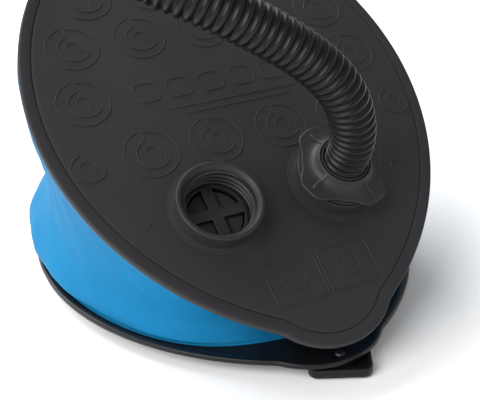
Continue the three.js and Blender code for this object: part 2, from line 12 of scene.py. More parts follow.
import bmesh
import bpy
from mathutils import Matrix, Vector, noise
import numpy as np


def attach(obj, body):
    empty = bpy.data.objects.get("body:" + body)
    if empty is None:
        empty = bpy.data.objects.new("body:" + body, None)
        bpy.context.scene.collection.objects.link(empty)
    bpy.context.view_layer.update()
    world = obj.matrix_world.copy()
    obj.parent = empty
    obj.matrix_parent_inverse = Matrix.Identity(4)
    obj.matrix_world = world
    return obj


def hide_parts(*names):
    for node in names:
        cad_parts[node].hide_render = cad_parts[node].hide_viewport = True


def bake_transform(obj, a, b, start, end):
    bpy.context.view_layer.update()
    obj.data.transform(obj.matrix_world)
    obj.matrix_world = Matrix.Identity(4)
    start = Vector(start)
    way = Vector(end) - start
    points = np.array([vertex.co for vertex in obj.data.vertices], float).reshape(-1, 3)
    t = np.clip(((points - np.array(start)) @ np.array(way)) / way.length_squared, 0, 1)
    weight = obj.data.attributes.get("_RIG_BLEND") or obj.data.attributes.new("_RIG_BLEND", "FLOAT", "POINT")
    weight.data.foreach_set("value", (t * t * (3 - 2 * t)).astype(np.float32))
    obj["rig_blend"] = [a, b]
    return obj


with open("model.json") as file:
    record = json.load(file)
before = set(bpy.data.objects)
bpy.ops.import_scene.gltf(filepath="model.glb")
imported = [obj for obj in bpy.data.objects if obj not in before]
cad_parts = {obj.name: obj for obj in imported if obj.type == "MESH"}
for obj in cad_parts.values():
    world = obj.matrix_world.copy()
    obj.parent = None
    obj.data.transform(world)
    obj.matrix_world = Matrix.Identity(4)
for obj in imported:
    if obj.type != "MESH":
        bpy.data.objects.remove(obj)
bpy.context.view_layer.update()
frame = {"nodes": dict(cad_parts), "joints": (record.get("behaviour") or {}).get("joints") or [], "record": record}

# ---- sizes, in millimetres ----
MM = 0.001
HINGE = Vector(next(j for j in frame["joints"] if j["name"] == "tread_hinge")["pos_m"])
HINGE_HEIGHT = HINGE.z / MM
OPEN = math.radians(36.2)
BASE = Matrix.Translation((0, HINGE.y, 0)) @ Matrix.Scale(MM, 4)
TREAD = Matrix.Translation(HINGE) @ Matrix.Rotation(OPEN, 4, "X") @ Matrix.Scale(MM, 4)

WIDE_RADIUS = 103
SIDE_RADIUS = 165
SIDE_START = math.radians(28)
NECK_RADIUS = 17
NOSE_RADIUS = 38
WIDE_CENTRE = 166
NOSE_CENTRE = 147.5
BASE_REACH = 5

BASE_TOP = 11
BASE_DECK = 9.5
TREAD_TOP = 21.9
TREAD_EDGE = 3.5
TREAD_DECK = 2.3

BASE_EDGE = 3
BASE_UNDER = 6.5
SKIRT_INSET = 17
SKIRT_WALL = 2.5
SKIRT_BOTTOM = 2.5
LUG_RADIUS = 5.2
LUG_WIDTH = 4
LUG_OFFSET = 3
LUG_GAP = 0.3
EYE_RADIUS = 2.6
SPRING_X = 45
SPRING_Y = 149.8
STUD_RADIUS = 13.6

SLEEVE_WALL = 0.6
SLEEVE_BASE_INSET = 5.2
SLEEVE_TOP_INSET = 3.6
BASE_SWELL = 14
WAIST_DEPTH = 15.4
TOP_SWELL = 6.5
SLEEVE_NOSE_RADIUS = 160
SLEEVE_NOSE = 6.6
SEAM_FROM_HEM = 6.5

PORTS = {"left": -35.4, "right": 32}
PORT_Y = 66.5
COLLAR_RADIUS = 22.6
COLLAR_HEIGHT = 9.3
COLLAR_STEP = 3.2
BORE_RADIUS = 18.4
WELL_DEPTH = 10
LEDGE_RADIUS = 16.5
LEDGE = 2.2
THREAD_TURNS = 3.6
THREAD_PITCH = 3.2

HOSE_RADIUS = 11.5
RIB_PITCH = 4.3
RIB_DEPTH = 1.5
NUT_LOW = TREAD_TOP + COLLAR_HEIGHT + 1.6
NUT_SKIRT = 1.4
NUT_PLATE = 1.5
NUT_TOP = NUT_LOW + NUT_SKIRT + NUT_PLATE + 5.4
SLEEVE_END = NUT_TOP + 0.5


# ---- mesh helpers ----
def place_piece(bm, name, at, body, replaces=(), sharp=35, ride=True):
    """Turns a bmesh drawn in millimetres into a finished piece on a body."""
    bmesh.ops.transform(bm, matrix=at, verts=bm.verts)
    mesh = bpy.data.meshes.new(name)
    bm.to_mesh(mesh)
    bm.free()
    mesh.shade_smooth()
    mesh.set_sharp_from_angle(angle=math.radians(sharp))
    piece = bpy.data.objects.new(name, mesh)
    bpy.context.scene.collection.objects.link(piece)
    if ride:
        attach(piece, body)
    if replaces:
        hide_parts(*replaces)
    return piece


def settle(piece):
    """Makes the modifiers' result the piece's own mesh."""
    graph = bpy.context.evaluated_depsgraph_get()
    made = bpy.data.meshes.new_from_object(piece.evaluated_get(graph))
    piece.modifiers.clear()
    old, piece.data = piece.data, made
    bpy.data.meshes.remove(old)


def modifier(piece, kind, **values):
    made = piece.modifiers.new(kind.lower(), kind)
    for key, value in values.items():
        setattr(made, key, value)
    return made


def loft(rows, joined=False):
    """A skin through closed rows of points. joined closes the last row onto the first."""
    bm = bmesh.new()
    place = bm.verts.layers.int.new("place")
    level = bm.verts.layers.int.new("level")
    ring = [bm.verts.new(p) for p in rows[0]]
    for i, vert in enumerate(ring):
        vert[place] = i
    first = [bm.edges.new((ring[i], ring[(i + 1) % len(ring)])) for i in range(len(ring))]
    edges = first
    for k, row in enumerate(rows[1:], 1):
        made = bmesh.ops.extrude_edge_only(bm, edges=edges)["geom"]
        fresh = {v for v in made if isinstance(v, bmesh.types.BMVert)}
        edges = [e for e in made if isinstance(e, bmesh.types.BMEdge) and all(v in fresh for v in e.verts)]
        for vert in fresh:
            vert.co = row[vert[place]]
            vert[level] = k
    if joined:
        bmesh.ops.bridge_loops(bm, edges=first + edges)
    return bm, first, edges


def close(bm, edges):
    """Fills one open row with a single face."""
    return bmesh.ops.contextual_create(bm, geom=edges)["faces"]


def outward(bm):
    bmesh.ops.remove_doubles(bm, verts=bm.verts, dist=1e-4)
    bmesh.ops.recalc_face_normals(bm, faces=bm.faces)


def turned(profile, steps=64, x=0.0, y=0.0):
    """A body of revolution about +Z at (x, y) from [radius, height] points."""
    bm = bmesh.new()
    points = [bm.verts.new((r, 0, z)) for r, z in profile]
    for a, b in zip(points, points[1:]):
        bm.edges.new((a, b))
    bmesh.ops.spin(bm, geom=bm.verts[:] + bm.edges[:], cent=(0, 0, 0), axis=(0, 0, 1),
                   angle=2 * math.pi, steps=steps, use_merge=True, use_duplicate=False)
    outward(bm)
    bmesh.ops.translate(bm, vec=(x, y, 0), verts=bm.verts)
    return bm


def arc_points(cx, cy, radius, start, end, steps):
    return [Vector((cx + radius * math.cos(start + (end - start) * i / steps),
                    cy + radius * math.sin(start + (end - start) * i / steps))) for i in range(steps)]


def plate_outline(inset=0.0, reach=0.0, fine=3):
    """The plates' shared outline: wide arc, two side arcs, hollows and a small nose."""
    wide, side = WIDE_RADIUS - inset, SIDE_RADIUS - inset
    nose, neck = NOSE_RADIUS - inset, NECK_RADIUS + inset
    shift = Vector((math.cos(SIDE_START), math.sin(SIDE_START))) * (WIDE_RADIUS - SIDE_RADIUS)
    centre = Vector((shift.x, shift.y - reach))
    nose_y = -NOSE_CENTRE - reach
    across = math.hypot(centre.x, centre.y - nose_y)
    along = ((side + neck) ** 2 - (nose + neck) ** 2 + across ** 2) / (2 * across)
    off = math.sqrt((side + neck) ** 2 - along ** 2)
    ux, uy = -centre.x / across, (nose_y - centre.y) / across
    neck_x = centre.x + ux * along - uy * off
    neck_y = centre.y + uy * along + ux * off
    to_side = math.atan2(neck_y - centre.y, neck_x - centre.x)
    to_nose = math.atan2(neck_y - nose_y, neck_x)
    half = arc_points(0, 0, wide, math.pi / 2, SIDE_START, 16 * fine)
    half += arc_points(shift.x, shift.y, side, SIDE_START, 0, 8 * fine)
    half += arc_points(centre.x, centre.y, side, 0, to_side, 14 * fine)
    half += arc_points(neck_x, neck_y, neck, to_side + math.pi, math.pi + to_nose, 4 * fine)
    half += arc_points(0, nose_y, nose, to_nose, -math.pi / 2, 8 * fine)
    half.append(Vector((0, nose_y - nose)))
    whole = half + [Vector((-p.x, p.y)) for p in reversed(half[1:-1])]
    return [Vector((p.x, p.y + WIDE_CENTRE)) for p in reversed(whole)]


def sleeve_outline(inset, reach, nose_inset=0.0, fine=3):
    """The plate's outline, but crossing the nose behind the hinge in one shallow fold."""
    centre = Vector((0, 120))
    nose_y = SLEEVE_NOSE + SLEEVE_NOSE_RADIUS
    radius = SLEEVE_NOSE_RADIUS - nose_inset
    soft = 6
    points = []
    for p in plate_outline(inset, reach, fine):
        ray = p - centre
        far = ray.length
        ray /= far
        out = Vector((0, centre.y - nose_y))
        lean = out.dot(ray)
        leave = 2 * far
        if ray.y < 0:
            leave = -lean + math.sqrt(lean * lean - out.length_squared + radius * radius)
        reach_here = -soft * math.log(math.exp(-far / soft) + math.exp(-leave / soft))
        points.append(centre + ray * reach_here)
    return points


def rim_loft(section, reach, fine=3, joined=False):
    """Sweeps a section of (inset, height) points round the plate's outline."""
    rows = [[Vector((p.x, p.y, z)) for p in plate_outline(inset, reach, fine)] for inset, z in section]
    return loft(rows, joined)


# ---- shader helpers ----
class Sock:
    """A node's output; arithmetic on it adds Math nodes."""

    def __init__(self, look, link):
        self.look, self.link = look, link

    def math(self, operation, other=None, swap=False):
        pair = [self] if other is None else [self, other]
        if swap:
            pair.reverse()
        return self.look.node("ShaderNodeMath", {"operation": operation}, dict(enumerate(pair)))

    def __add__(self, other):
        return self.math("ADD", other)

    def __radd__(self, other):
        return self.math("ADD", other)

    def __sub__(self, other):
        return self.math("SUBTRACT", other)

    def __rsub__(self, other):
        return self.math("SUBTRACT", other, swap=True)

    def __mul__(self, other):
        return self.math("MULTIPLY", other)

    def __rmul__(self, other):
        return self.math("MULTIPLY", other)

    def sin(self):
        return self.math("SINE")

    def power(self, other):
        return self.math("POWER", other)

    def clamp(self, low, high):
        return self.math("MAXIMUM", low).math("MINIMUM", high)

    def band(self, low, high):
        """0 below low, 1 above high, straight between."""
        return self.look.node("ShaderNodeMapRange", {}, {"Value": self, "From Min": low, "From Max": high})


class Look:
    """A material; values given by name stay the same all over it."""

    def __init__(self, name, **values):
        self.material = bpy.data.materials.new(name)
        self.material.use_nodes = True
        self.tree = self.material.node_tree
        self.shader = self.tree.nodes["Principled BSDF"]
        for key, value in values.items():
            self.shader.inputs[key.replace("_", " ")].default_value = value

    def node(self, kind, settings, sockets, out=0):
        made = self.tree.nodes.new(kind)
        for key, value in settings.items():
            setattr(made, key, value)
        for key, value in sockets.items():
            self.feed(made.inputs[key], value)
        return Sock(self, made.outputs[out])

    def feed(self, entry, value):
        if isinstance(value, Sock):
            self.tree.links.new(value.link, entry)
        else:
            entry.default_value = value

    def places(self, stretch=(1, 1, 1)):
        """Object coordinates, in metres."""
        where = self.node("ShaderNodeTexCoord", {}, {}, out="Object")
        if stretch == (1, 1, 1):
            return where
        return self.node("ShaderNodeMapping", {}, {"Vector": where, "Scale": stretch})

    def noise(self, where, scale, detail=3.0, rough=0.5):
        return self.node("ShaderNodeTexNoise", {}, {
            "Vector": where, "Scale": scale, "Detail": detail, "Roughness": rough})

    def colour(self, factor, low, high):
        ends = {0: factor, 6: (*low, 1), 7: (*high, 1)}
        return self.node("ShaderNodeMix", {"data_type": "RGBA"}, ends, out=2)

    def bump(self, height, distance, strength=1.0, under=None):
        sockets = {"Height": height, "Distance": distance, "Strength": strength}
        if under is not None:
            sockets["Normal"] = under
        return self.node("ShaderNodeBump", {}, sockets)

    def wear(self, **sockets):
        for key, value in sockets.items():
            self.feed(self.shader.inputs[key.replace("_", " ")], value)
        return self.material


def moulded(name, low, high, rough=(0.42, 0.58), grain=0.00006, specular=0.5):
    """Injection-moulded plastic: fine spark grain, faint flow marks and handling polish."""
    look = Look(name, **{"Specular IOR Level": specular})
    where = look.places()
    flow = look.noise(look.places((1, 0.35, 1)), 14, 4, 0.55)
    cloud = look.noise(where, 55, 4, 0.6)
    fine = look.noise(where, 2600, 2, 0.6)
    dust = look.noise(where, 420, 3, 0.7).band(0.62, 0.8)
    tone = flow * 0.55 + cloud * 0.45
    rub = look.noise(look.places((1, 9, 1)), 160, 3, 0.6).band(0.5, 0.75)
    roughness = tone * (rough[1] - rough[0]) + rough[0] + rub * 0.05 + fine * 0.04
    normal = look.bump(fine + dust * 0.15, grain)
    return look.wear(Base_Color=look.colour((tone + dust * 0.25).clamp(0, 1), low, high),
                     Roughness=roughness, Normal=normal)


def rubbery(name, low, high):
    look = Look(name, **{"Specular IOR Level": 0.35})
    where = look.places()
    fine = look.noise(where, 1800, 3, 0.6)
    cloud = look.noise(where, 70, 3, 0.6)
    return look.wear(Base_Color=look.colour(cloud, low, high), Roughness=cloud * 0.15 + 0.68,
                     Normal=look.bump(fine, 0.00008))


def blackened(name):
    """Blackened steel with a faint drawn grain."""
    look = Look(name, Metallic=1.0)
    grain = look.noise(look.places((1, 14, 14)), 260, 3, 0.6)
    cloud = look.noise(look.places(), 120, 3, 0.5)
    return look.wear(Base_Color=look.colour(cloud, (0.05, 0.05, 0.055), (0.09, 0.09, 0.095)),
                     Roughness=grain * 0.2 + 0.42, Normal=look.bump(grain, 0.00003))


def corrugated_vinyl(name):
    """Soft black vinyl: glossy on the ribs and rougher in the valleys, from the rib height kept on the mesh; the
    same height paints the crests lighter as a painted highlight and the valleys darker as painted shade.
    """
    look = Look(name, **{"Specular IOR Level": 0.2})
    where = look.places()
    crest = look.node("ShaderNodeAttribute", {"attribute_name": "crest"}, {}, out="Fac")
    cloud = look.noise(where, 60, 4, 0.6)
    fine = look.noise(where, 1500, 2, 0.6)
    # Painted highlight and shade: the colour is lighter on the rib crests and darker down in the valleys between
    # them.
    tone = (crest * 0.6 + cloud * 0.5).clamp(0, 1)
    return look.wear(Base_Color=look.colour(tone, (0.002, 0.002, 0.0024), (0.007, 0.007, 0.008)),
                     Roughness=0.44 - crest * 0.2 + cloud * 0.08, Normal=look.bump(fine, 0.00003))


def woven(name, deep, bright, thread=0.0007):
    """Coated plain-weave nylon; the cloth's own coordinates are metres along and up the sleeve."""
    look = Look(name, **{"Specular IOR Level": 0.08})
    cloth = look.node("ShaderNodeUVMap", {"uv_map": "cloth"}, {})
    split = look.tree.nodes.new("ShaderNodeSeparateXYZ")
    look.feed(split.inputs[0], cloth)
    along, up = Sock(look, split.outputs[0]), Sock(look, split.outputs[1])
    turns = 2 * math.pi / thread
    warp = (along * turns).sin()
    weft = (up * turns).sin()
    weave = warp * weft
    ribs = (along * (turns / 2)).sin() * (up * (turns / 2)).sin()
    where = look.places()
    cloud = look.noise(where, 26, 4, 0.55)
    pucker = look.noise(look.places((1, 1, 2.2)), 90, 4, 0.6)
    slub = look.noise(where, 700, 2, 0.5)
    hem = look.node("ShaderNodeAttribute", {"attribute_name": "hem"}, {}, out="Fac")
    strip = hem.band(0.0085, 0.0092)
    # A narrow band about 8 mm below the top hem, over the seam's groove, is painted darker: painted shade in the
    # groove.
    seam_and_shade = (1 - hem.band(0.0083, 0.0088)) * hem.band(0.0074, 0.0079)
    tone = (cloud * 0.55 + weave * 0.07 + ribs * 0.05 + slub * 0.25 + pucker * 0.12 - seam_and_shade * 0.35).clamp(0, 1)
    creases = look.bump(strip * -1 + pucker * 0.8, 0.0006, 0.6)
    normal = look.bump(weave * 0.5 + ribs * 0.3 + slub * 0.4, 0.00012, 1.0, creases)
    return look.wear(Base_Color=look.colour(tone, deep, bright), Roughness=slub * 0.15 + 0.5, Normal=normal)


# ---- camera ----
def make_camera():
    data = bpy.data.cameras.new("camera")
    data.sensor_width = 36
    data.lens = 63.3
    data.shift_x = -0.037
    data.shift_y = 0.006
    data.clip_start = 0.01
    camera = bpy.data.objects.new("camera", data)
    camera.location = (-0.1766, -0.4325, 0.2620)
    camera.rotation_euler = (math.radians(63.75), math.radians(2.64), math.radians(-26.28))
    bpy.context.scene.collection.objects.link(camera)
    bpy.context.scene.camera = camera


make_camera()

# ---- hose: its route is given, from the swivel sleeve over the wide end and down to the floor ----
PORT_AXIS = (TREAD.to_3x3() @ Vector((0, 0, 1))).normalized()
HOSE_START = TREAD @ Vector((PORTS["right"], PORT_Y, SLEEVE_END + 0.3))
HOSE_ROUTE = [
    (31.6, -100.1, 101.5), (28.8, -105.1, 113.6), (22.6, -108.7, 128.3), (13.3, -109.6, 141.5),
    (0.3, -108.3, 153.8), (-15, -105.4, 165.1), (-33.1, -101.7, 176.7), (-52, -93.7, 187.5),
    (-70, -78.7, 198), (-85, -58.7, 207), (-95, -32.7, 213.5), (-99, -7.7, 216.5), (-99, 18.3, 217.5),
    (-95, 44.3, 216.5), (-87, 70.3, 213), (-75, 95.3, 206), (-60, 119.3, 193),
    (-42, 141.3, 172), (-22, 160.3, 144),
    (-1, 176.3, 110), (20, 190.3, 76), (42, 205.3, 46), (66, 223.3, 24), (90, 245.3, 13), (112, 274.3, 12),
    (127, 308.3, 12), (130, 346.3, 12), (119, 382.3, 12), (95, 410.3, 12), (62, 425.3, 12),
]
TUCK = 0.012


def smooth_route(points, parts=10):
    """A Catmull-Rom curve through the points."""
    ends = [points[0] * 2 - points[1], *points, points[-1] * 2 - points[-2]]
    line = []
    for a, b, c, d in zip(ends, ends[1:], ends[2:], ends[3:]):
        for i in range(parts):
            t = i / parts
            line.append(0.5 * (2 * b + (c - a) * t + (2 * a - 5 * b + 4 * c - d) * t ** 2
                               + (3 * b - a - 3 * c + d) * t ** 3))
    return line + [points[-1]]


def carried_frames(line):
    """Positions, directions and an untwisted cross direction along a line, with the length run."""
    run, frames = 0.0, []
    across = Vector((1, 0, 0))
    for i, point in enumerate(line):
        ahead = (line[min(i + 1, len(line) - 1)] - line[max(i - 1, 0)]).normalized()
        across = (across - ahead * across.dot(ahead)).normalized()
        if i:
            run += (point - line[i - 1]).length
        frames.append((run, point, ahead, across.copy()))
    return frames


def at_length(frames, run):
    for before, after in zip(frames, frames[1:]):
        if after[0] >= run:
            t = (run - before[0]) / max(after[0] - before[0], 1e-9)
            ahead = before[2].lerp(after[2], t).normalized()
            across = before[3].lerp(after[3], t)
            across = (across - ahead * across.dot(ahead)).normalized()
            return before[1].lerp(after[1], t), ahead, across
    return frames[-1][1:]


def make_hose():
    points = [HOSE_START - PORT_AXIS * TUCK, HOSE_START] + [Vector(p) * MM for p in HOSE_ROUTE]
    line = smooth_route(points)
    frames = carried_frames(line)
    length = frames[-1][0]
    pitch = length / round(length / (RIB_PITCH * MM))
    rib = [(0.0, 0.0), (0.16, 0.05), (0.27, 0.6), (0.4, 0.95),
           (0.52, 1.0), (0.64, 0.95), (0.78, 0.6), (0.9, 0.05)]
    valley = HOSE_RADIUS - RIB_DEPTH
    profile = []
    for i in range(round(length / pitch)):
        profile += [(valley + RIB_DEPTH * high, (i + part) * pitch / MM) for part, high in rib]
    profile.append((valley, length / MM))
    bm = bmesh.new()
    verts = [bm.verts.new((r, 0, z)) for r, z in profile]
    for a, b in zip(verts, verts[1:]):
        bm.edges.new((a, b))
    bmesh.ops.spin(bm, geom=bm.verts[:] + bm.edges[:], cent=(0, 0, 0), axis=(0, 0, 1),
                   angle=2 * math.pi, steps=28, use_merge=True, use_duplicate=False)
    bmesh.ops.remove_doubles(bm, verts=bm.verts, dist=1e-4)
    crest = bm.verts.layers.float.new("crest")
    known = {}
    for vert in bm.verts:
        key = round(vert.co.z, 3)
        if key not in known:
            known[key] = at_length(frames, vert.co.z * MM)
        point, ahead, across = known[key]
        side = ahead.cross(across)
        vert[crest] = (math.hypot(vert.co.x, vert.co.y) - valley) / RIB_DEPTH
        vert.co = (point + across * vert.co.x * MM + side * vert.co.y * MM) / MM
    bmesh.ops.recalc_face_normals(bm, faces=bm.faces)
    piece = place_piece(bm, "corrugated_hose", Matrix.Scale(MM, 4), "base", ["hose"], 80,
                        ride=False)
    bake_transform(piece, "tread", "base", start=(0, -0.055, 0), end=(0, 0.22, 0))
    piece.data.materials.append(corrugated_vinyl("hose_vinyl"))


make_hose()

# ---- finishes ----
SHELL = moulded("shell_plastic", (0.008, 0.008, 0.010), (0.017, 0.017, 0.020), specular=0.4)
SHELL_DARK = moulded("base_plastic", (0.003, 0.003, 0.0035), (0.007, 0.007, 0.008), (0.3, 0.42), specular=0.3)
INNER = moulded("inner_plastic", (0.010, 0.010, 0.011), (0.020, 0.020, 0.022), (0.34, 0.48), specular=0.4)
RUBBER = rubbery("black_rubber", (0.016, 0.016, 0.017), (0.03, 0.03, 0.031))
STEEL = blackened("black_steel")
NYLON = woven("blue_nylon", (0.004, 0.125, 0.29), (0.009, 0.215, 0.43))


# ---- upper plate ----
def tread_section():
    """(inset, height) points from the recess below, round the edge and across the rim to the deck."""
    low, top = TREAD_TOP - TREAD_EDGE, TREAD_TOP
    return [(9, top - TREAD_DECK), (3.2, top - TREAD_DECK), (3, top - TREAD_DECK - 0.2), (3, low + 0.2),
            (2.8, low), (0.7, low), (0.3, low + 0.1), (0.08, low + 0.35), (0, low + 0.8), (0, top - 1.3),
            (0.12, top - 0.75), (0.45, top - 0.25), (1, top - 0.03), (1.6, top), (6.1, top),
            (6.3, top - 0.08), (6.5, top - 0.6), (6.9, top - 0.6),
            (7.1, top - 0.12), (7.4, top - 0.05), (9, top)]


def make_tread_plate():
    bm, first, last = rim_loft(tread_section(), 0)
    close(bm, first)
    close(bm, last)
    outward(bm)
    for side in (-1, 1):
        join(bm, lug_solid(side * LUG_OFFSET, side * (LUG_OFFSET + LUG_WIDTH), TREAD_TOP - TREAD_DECK + 0.5))
    piece = place_piece(bm, "tread_plate_shell", TREAD, "tread", ["tread_plate"], 30)
    for side in PORTS.values():
        hole = turned([(0, 0), (COLLAR_RADIUS - 0.6, 0), (COLLAR_RADIUS - 0.6, 2 * TREAD_TOP),
                       (0, 2 * TREAD_TOP)], 64, side, PORT_Y)
        cut(piece, hole, TREAD)
    piece.data.materials.append(SHELL)
    for name, x in PORTS.items():
        make_collar(name, x)


def join(bm, other):
    """Adds another bmesh's faces to this one."""
    spare = bpy.data.meshes.new("spare")
    other.to_mesh(spare)
    other.free()
    bm.from_mesh(spare)
    bpy.data.meshes.remove(spare)


def cut(piece, tool, at):
    """Takes a drawn solid out of a piece."""
    bmesh.ops.transform(tool, matrix=at, verts=tool.verts)
    mesh = bpy.data.meshes.new("tool")
    tool.to_mesh(mesh)
    tool.free()
    helper = bpy.data.objects.new("tool", mesh)
    bpy.context.scene.collection.objects.link(helper)
    modifier(piece, "BOOLEAN", operation="DIFFERENCE", object=helper, solver="EXACT")
    settle(piece)
    bpy.data.objects.remove(helper)
    bpy.data.meshes.remove(mesh)


def lug_solid(x0, x1, far):
    """A hinge lug with the pin's eye, round on one side of the axis and square to the height far."""
    outer, eye = [], []
    for i in range(48):
        c, s = math.cos(math.pi * i / 24), math.sin(math.pi * i / 24)
        reach = LUG_RADIUS
        if s * far > 0:
            reach = min(LUG_RADIUS / max(abs(c), 1e-6), far / s)
        outer.append((c * reach, s * reach))
        eye.append((c * EYE_RADIUS, s * EYE_RADIUS))
    bm, _, _ = loft([[Vector((x, *p)) for p in ring]
                     for x, ring in ((x0, outer), (x1, outer), (x1, eye), (x0, eye))], joined=True)
    outward(bm)
    return bm


def make_collar(name, x):
    """A port's collar with rounded lips and a ledge at its foot, and the helical thread inside it."""
    rim, well = TREAD_TOP + COLLAR_HEIGHT, TREAD_TOP - WELL_DEPTH
    step = COLLAR_RADIUS + COLLAR_STEP
    bm = turned([
        (LEDGE_RADIUS, well), (COLLAR_RADIUS, well), (COLLAR_RADIUS, TREAD_TOP - 0.2),
        (step, TREAD_TOP - 0.2),
        (step, TREAD_TOP + 0.15), (step - 0.1, TREAD_TOP + 0.3), (step - 0.3, TREAD_TOP + 0.35),
        (COLLAR_RADIUS + 0.6, TREAD_TOP + 0.35), (COLLAR_RADIUS + 0.15, TREAD_TOP + 0.5),
        (COLLAR_RADIUS, TREAD_TOP + 0.9), (COLLAR_RADIUS - 0.1, rim - 0.7), (COLLAR_RADIUS - 0.25, rim - 0.3),
        (COLLAR_RADIUS - 0.6, rim - 0.05), (COLLAR_RADIUS - 0.9, rim), (BORE_RADIUS + 2.3, rim),
        (BORE_RADIUS + 2, rim - 0.08), (BORE_RADIUS + 1.7, rim - 0.4), (BORE_RADIUS + 0.2, rim - 1.9),
        (BORE_RADIUS, rim - 2.3), (BORE_RADIUS, well + LEDGE), (LEDGE_RADIUS, well + LEDGE),
        (LEDGE_RADIUS, well)], 96, x, PORT_Y)
    piece = place_piece(bm, f"{name}_port_collar", TREAD, "tread", (), 40)
    piece.data.materials.append(SHELL)
    rows = []
    turns, pitch, steps = THREAD_TURNS, THREAD_PITCH, 260
    for i in range(steps + 1):
        t = i / steps
        angle = 2 * math.pi * turns * t
        fade = min(1, t * 14, (1 - t) * 14)
        middle = Vector((x, PORT_Y, rim - 3.2 - pitch * turns * t))
        out = Vector((math.cos(angle), math.sin(angle), 0))
        deep = 1.15 * fade
        rows.append([middle + out * (BORE_RADIUS + 0.3) + Vector((0, 0, 0.95)),
                     middle + out * (BORE_RADIUS - deep) + Vector((0, 0, 0.28)),
                     middle + out * (BORE_RADIUS - deep) - Vector((0, 0, 0.28)),
                     middle + out * (BORE_RADIUS + 0.3) - Vector((0, 0, 0.95))])
    bm, first, last = loft(rows)
    close(bm, first)
    close(bm, last)
    outward(bm)
    thread = place_piece(bm, f"{name}_port_thread", TREAD, "tread", (), 50)
    thread.data.materials.append(INNER)


make_tread_plate()


# ---- base plate ----
def base_section():
    """(inset, height) points from the pan's skirt, out under the edge, over the bead and in to the deck."""
    low, top, deck = BASE_TOP - BASE_EDGE, BASE_TOP, BASE_DECK
    inner = SKIRT_INSET + SKIRT_WALL
    return [(24, BASE_UNDER), (inner, BASE_UNDER), (inner, SKIRT_BOTTOM + 0.3), (inner - 0.3, SKIRT_BOTTOM),
            (SKIRT_INSET + 0.4, SKIRT_BOTTOM), (SKIRT_INSET, SKIRT_BOTTOM + 0.4), (SKIRT_INSET, BASE_UNDER),
            (8.4, BASE_UNDER), (8, BASE_UNDER + 0.4), (8, low), (1, low), (0.4, low + 0.12), (0.1, low + 0.4),
            (0, low + 0.9), (0, top - 1.1), (0.1, top - 0.6), (0.4, top - 0.2), (0.9, top - 0.03), (1.4, top),
            (2.4, top), (3.1, top - 0.06), (3.6, top - 0.3), (3.9, top - 0.75), (4, top - 1.2),
            (4.2, deck + 0.08), (4.6, deck), (24, deck)]


def make_base_plate():
    bm, first, last = rim_loft(base_section(), BASE_REACH)
    close(bm, first)
    close(bm, last)
    outward(bm)
    for side in (-1, 1):
        start = side * (LUG_OFFSET + LUG_WIDTH + LUG_GAP)
        lug = lug_solid(start, start + side * LUG_WIDTH, BASE_DECK - 0.5 - HINGE_HEIGHT)
        bmesh.ops.translate(lug, vec=(0, 0, HINGE_HEIGHT), verts=lug.verts)
        join(bm, lug)
        stud = turned([(0, BASE_DECK - 1), (STUD_RADIUS, BASE_DECK - 1), (STUD_RADIUS, BASE_DECK + 2.6),
                       (STUD_RADIUS - 0.4, BASE_DECK + 3), (0, BASE_DECK + 3)], 32, side * SPRING_X, SPRING_Y)
        join(bm, stud)
        join(bm, box_rib(side * 31, side * 31.9, -3.5, 8))
    piece = place_piece(bm, "base_plate_shell", BASE, "base", ["base_plate"], 30)
    piece.data.materials.append(SHELL_DARK)


def box_rib(x0, x1, y0, y1):
    """A low straight rib that stands on the base's deck."""
    bm, first, last = loft([[Vector((x, y, z)) for x, y in ((x0, y0), (x1, y0), (x1, y1), (x0, y1))]
                            for z in (BASE_DECK - 0.5, BASE_DECK + 0.9)])
    close(bm, first)
    close(bm, last)
    outward(bm)
    return bm


make_base_plate()


# ---- raised marks on the upper plate ----
LINE = 0.65


def ridge(path, width, height, closed=False):
    """A low rounded ridge that follows a flat path on the deck."""
    rows = []
    count = len(path)
    for i, p in enumerate(path):
        before = path[(i - 1) % count] if closed else path[max(i - 1, 0)]
        after = path[(i + 1) % count] if closed else path[min(i + 1, count - 1)]
        ahead = (after - before).normalized()
        side = Vector((-ahead.y, ahead.x))
        fade = 1.0 if closed else min(1, 0.25 + min(i, count - 1 - i) * 0.5)
        half, high = width / 2 * fade, height * fade
        rows.append([Vector((*(p + side * half * a), TREAD_TOP + (high * 1.35 + 0.1) * b - 0.1))
                     for a, b in ((-1, 0), (-0.75, 0.75), (-0.3, 1), (0.3, 1), (0.75, 0.75), (1, 0))])
    bm, first, last = loft(rows, joined=closed)
    if not closed:
        close(bm, first)
        close(bm, last)
    outward(bm)
    return bm


def spiral(x, y, r0, r1, a0, a1, steps=30):
    """A path whose radius passes from r0 to r1 while it turns from a0 to a1, in degrees."""
    path = []
    for i in range(steps + 1):
        t = i / steps
        angle = math.radians(a0 + (a1 - a0) * t)
        radius = r0 + (r1 - r0) * t
        path.append(Vector((x + radius * math.cos(angle), y + radius * math.sin(angle))))
    return path


def box_path(x0, x1, y0, y1, corner, steps=5):
    path = []
    for cx, cy, a in ((x1, y1, 0), (x0, y1, 90), (x0, y0, 180), (x1, y0, 270)):
        mx = cx - corner if a in (0, 270) else cx + corner
        my = cy - corner if a in (0, 90) else cy + corner
        path += [Vector((mx + corner * math.cos(math.radians(a + 90 * i / steps)),
                         my + corner * math.sin(math.radians(a + 90 * i / steps)))) for i in range(steps + 1)]
    return path


